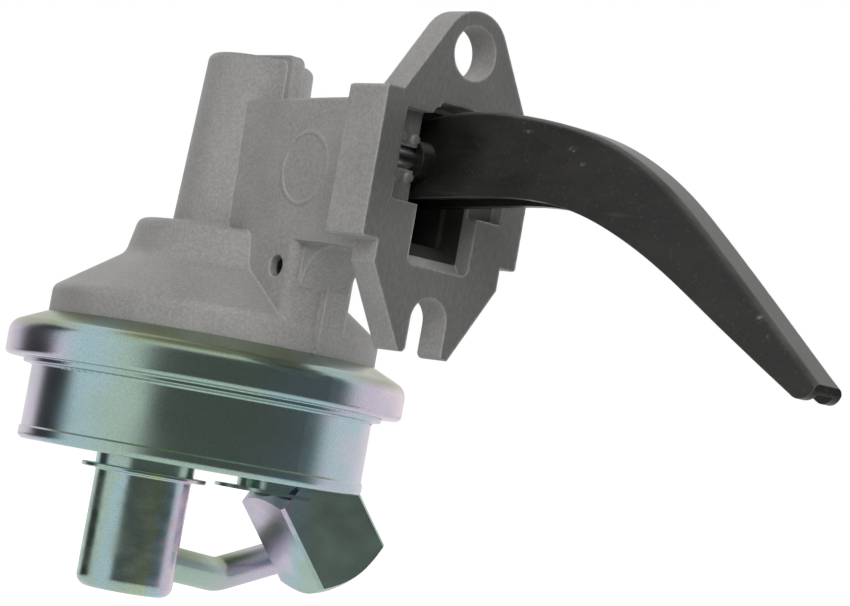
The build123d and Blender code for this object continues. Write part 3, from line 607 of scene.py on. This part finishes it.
turned_rod = steel_finish("turned_rod", ground_steel, sheet_pale, (0.05, 0.05, 1), 0.28)
rubber_cloth, tree, shader = new_finish("rubber_cloth", {"Specular IOR Level": 0.3})
threads = None
for turn_angle in (0, 90):
    across_threads = on_piece(tree, turn=(0, 0, radians(turn_angle + 12)))
    rows = add_node(tree, "TexWave", {"Vector": across_threads, "Distortion": 0.4,
                                      "Scale": 1 / thread_pitch / (2 * pi)},
                    bands_direction="X").outputs["Fac"]
    threads = rows if threads is None else times(tree, threads, rows)
cloth_wear = mottle(tree, on_piece(tree), 0.006, 4.0)
tree.links.new(blend_colours(tree, times(tree, threads, cloth_wear), cloth_black, cloth_thread),
               shader["Base Color"])
tree.links.new(between(tree, cloth_wear, 0.3, 0.7, 0.55, 0.8), shader["Roughness"])
raise_surface(tree, shader, [(threads, 0.4, 0.0001)])
dress("pull_rod", turned_rod)
for name in ("upper_plate", "lower_plate", "rivet_washer"):
    dress(name, pressed_steel)
spring = wound_spring("diaphragm_spring", pump_axis, 0.0132, 0.0011, pressure_low, pressure_high,
                      3.5)
squeeze_spring(spring)

rod_hole_r = 0.00252
plate_r = 0.0246
wall_r = 0.0329
clamped_r = 0.0439
cloth_profile = [
    (rod_hole_r, -0.0760), (0.0120, -0.0760), (plate_r, -0.0760), (0.0270, -0.0755),
    (0.0300, -0.0742), (wall_r, -0.0732), (clamped_r, -0.0732), (clamped_r, -0.0722),
    (wall_r, -0.0722), (0.0300, -0.0732), (0.0270, -0.0745), (plate_r, -0.0750),
    (0.0120, -0.0750), (rod_hole_r, -0.0750)]
gores = 12
gore_steps = 6
half_gore = pi / gores
for gore in range(gores):
    corners = []
    for step in range(gore_steps + 1):
        angle = 2 * half_gore * (gore + step / gore_steps)
        outward = Vector((cos(angle), sin(angle), 0))
        corners += [pump_axis + outward * radius + Vector((0, 0, z))
                    for radius, z in cloth_profile]
    piece = new_piece(f"diaphragm_gore_{gore:02d}", corners,
                      tube_faces(gore_steps + 1, len(cloth_profile)), rubber_cloth)
    if gore == 0:
        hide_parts("diaphragm")
    middle_angle = (2 * gore + 1) * half_gore
    outward = Vector((cos(middle_angle), sin(middle_angle), 0))
    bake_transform(piece)

# Valve body and its two check valves
# A small die casting splits the cup into an inlet side and an outlet side. Each valve is
# a rubber disc under a light spring, kept in its pocket by a slotted brass cap.
valve_shade = (0.30, 0.30, 0.30, 1)
valve_grey = (0.42, 0.42, 0.42, 1)
valve_fleck_and_highlight = (0.62, 0.62, 0.62, 1)
valve_coil_r = 0.0028
valve_wire_r = 0.00025
brass_dark = (0.42, 0.29, 0.10, 1)
brass_pale = (0.74, 0.56, 0.26, 1)

dress("valve_body", cast_finish("valve_skin", valve_shade, valve_grey, valve_fleck_and_highlight)[0])
brass_sheet = steel_finish("brass_sheet", brass_dark, brass_pale, (0.1, 1, 1), 0.3)
port_line = Vector((cos(radians(82)), sin(radians(82)), 0))
for side, offset, disc_z, cap_z in (("inlet", -0.016, -0.0854, -0.0814),
                                    ("outlet", 0.015, -0.0834, -0.0874)):
    dress(side + "_valve_disc", moulded_rubber)
    dress(side + "_valve_retainer", brass_sheet)
    spring = wound_spring(side + "_valve_spring", pump_axis + port_line * offset, valve_coil_r,
                          valve_wire_r, min(disc_z, cap_z), max(disc_z, cap_z), 3.5)
    squeeze_spring(spring)

# Gasket and divider seal
# The cup gasket and the divider seal are cut from rubber sheet and lie between the valve
# body and the cup, whose crimped rim keeps the stack pressed together.
dress("cup_gasket", moulded_rubber)
dress("divider_seal", moulded_rubber)

# Fuel cup
# The cup is pressed from steel sheet, its rim is crimped over the casting, and it is then zinc
# plated. The passivated plating shows thin films of lilac, teal and yellow-green. They are laid
# across each piece along the picture's level line as painted sheen: rose and lilac at the sides,
# where the surface turns away from the camera, and leaf where it faces it. Upward faces take a
# painted gold tint of the light reflected from above.
lilac = (0.66, 0.60, 0.74, 1)
rose = (0.86, 0.70, 0.76, 1)
teal = (0.42, 0.60, 0.64, 1)
leaf = (0.42, 0.57, 0.49, 1)
reflection_gold = (0.33, 0.37, 0.19, 1)
pale_gold = (0.48, 0.60, 0.42, 1)
film_dull = (0.16, 0.17, 0.16, 1)
film_scratch = (0.20, 0.20, 0.21, 1)
rim_reach = 0.0455
film_and_sheen_stops = [(0.00, rose), (0.09, lilac), (0.22, teal), (0.38, leaf), (0.60, leaf),
              (0.82, teal), (0.93, lilac), (1.00, rose)]


def plated_finish(name, centre, reach, stops, roughness, top_reflection_share=0.85):
    """Zinc plating: coloured films laid in bands of painted sheen across the piece, a painted
    reflection tint on upward faces, and fine speckle.
    """
    finish, tree, shader = new_finish(name, {"Metallic": 1.0})
    clouds = mottle(tree, on_piece(tree, (1, 1, 1.6)), reach * 0.5, 1.5, 0.5)
    speckle = mottle(tree, on_piece(tree), 0.0004, 2.0)
    lines = mottle(tree, on_piece(tree, (0.06, 0.06, 1)), 0.0012, 4.0, 0.7)
    # Painted sheen: the film colours follow the camera's level line, from limb to limb of each piece.
    across = add_node(tree, "VectorMath", {0: on_piece(tree, origin=centre), 1: level},
                      operation="DOT_PRODUCT").outputs["Value"]
    across = between(tree, across, -reach, reach)
    waver = between(tree, clouds, 0.25, 0.75, -0.06, 0.06)
    film = arithmetic(tree, "ADD", across, waver)
    ramp = add_node(tree, "ValToRGB", {"Fac": film})
    ramp.color_ramp.interpolation = "EASE"
    stops_on_ramp = ramp.color_ramp.elements
    stops_on_ramp[0].position, stops_on_ramp[0].color = stops[0]
    stops_on_ramp[1].position, stops_on_ramp[1].color = stops[-1]
    for position, colour in stops[1:-1]:
        stops_on_ramp.new(position).color = colour
    # Painted reflection: upward faces are tinted towards gold, as the light above shows in them.
    lifted = add_node(tree, "SeparateXYZ", {0: add_node(tree, "NewGeometry").outputs["Normal"]})
    top_reflection = times(tree, between(tree, lifted.outputs["Z"], 0.15, 0.7, 0.0, top_reflection_share),
                   between(tree, clouds, 0.35, 0.6))
    colour = blend_colours(tree, top_reflection, ramp.outputs["Color"], reflection_gold)
    dull = between(tree, speckle, 0.35, 0.70, 0.0, 0.22)
    colour = blend_colours(tree, dull, colour, film_dull)
    scratched = between(tree, lines, 0.68, 0.76, 0.0, 0.2)
    colour = blend_colours(tree, scratched, colour, film_scratch)
    tree.links.new(colour, shader["Base Color"])
    tree.links.new(between(tree, clouds, 0.3, 0.7, roughness - 0.04, roughness + 0.08),
                   shader["Roughness"])
    raise_surface(tree, shader, [(clouds, 0.10, 0.0008), (speckle, 0.12, 0.00004),
                                 (lines, 0.06, 0.00004)])
    return finish


dress("fuel_cup", plated_finish("cup_plating", pump_axis, rim_reach, film_and_sheen_stops, 0.20))

# Inlet can and tube
# The can is deep drawn and brazed to the cup's neck. The tube is bent and brazed into its
# side, and both went through the same plating bath as the cup.
can_middle = pump_axis - port_line * 0.011
can_reach = 0.0112
can_stops = [(0.00, leaf), (0.20, leaf), (0.30, teal), (0.48, leaf), (0.72, pale_gold),
             (0.82, teal), (0.94, lilac), (1.00, rose)]
tube_reach = 0.03
tube_stops = [(0.0, leaf), (0.3, teal), (0.7, leaf), (1.0, lilac)]

dress("inlet_can", plated_finish("can_plating", can_middle, can_reach, can_stops, 0.22))
dress("inlet_tube", plated_finish("tube_plating", can_middle, tube_reach, tube_stops, 0.30))

# Outlet block and its thread
# The block is cut from square bar, chamfered at both ends and pressed into the cup. The
# port is tapped for a tube nut, down to a narrower well with the flare seat.
block_stops = [(0.0, lilac), (0.30, lilac), (0.40, teal), (0.50, leaf), (1.0, leaf)]
port_mouth = Vector((-0.066989, 0.042774, -0.113666))
port_out = Vector((0.08946, 0.63653, -0.76604)).normalized()
thread_root_r = 0.00542
thread_crest_r = 0.00492
thread_turn = 0.00127
thread_start = 0.0006
thread_ramp = 0.00004
thread_turns = 5

block_middle = port_mouth - port_out * 0.011
block_plating = plated_finish("block_plating", block_middle, 0.018, block_stops, 0.30, 0.2)
dress("outlet_block", block_plating)
sideways = port_out.orthogonal().normalized()
other_way = port_out.cross(sideways)
corners = []
step_count = thread_turns * steps_a_turn
for step in range(step_count + 1):
    angle = 2 * pi * step / steps_a_turn
    outward = sideways * cos(angle) + other_way * sin(angle)
    depth = thread_start + thread_turn * step / steps_a_turn
    run_out = min(1, step / steps_a_turn * 2, (step_count - step) / steps_a_turn * 2)
    crest_r = thread_root_r - thread_ramp - (thread_root_r - thread_crest_r - thread_ramp) * run_out
    for radius, shift in ((thread_root_r, 0.0), (crest_r, 0.42), (crest_r, 0.54),
                          (thread_root_r, 0.96)):
        corners.append(port_mouth + outward * radius - port_out * (depth + thread_turn * shift))
outlet_thread = new_piece("outlet_thread", corners, tube_faces(step_count + 1, 4),
                          block_plating)
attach(outlet_thread, "housing")
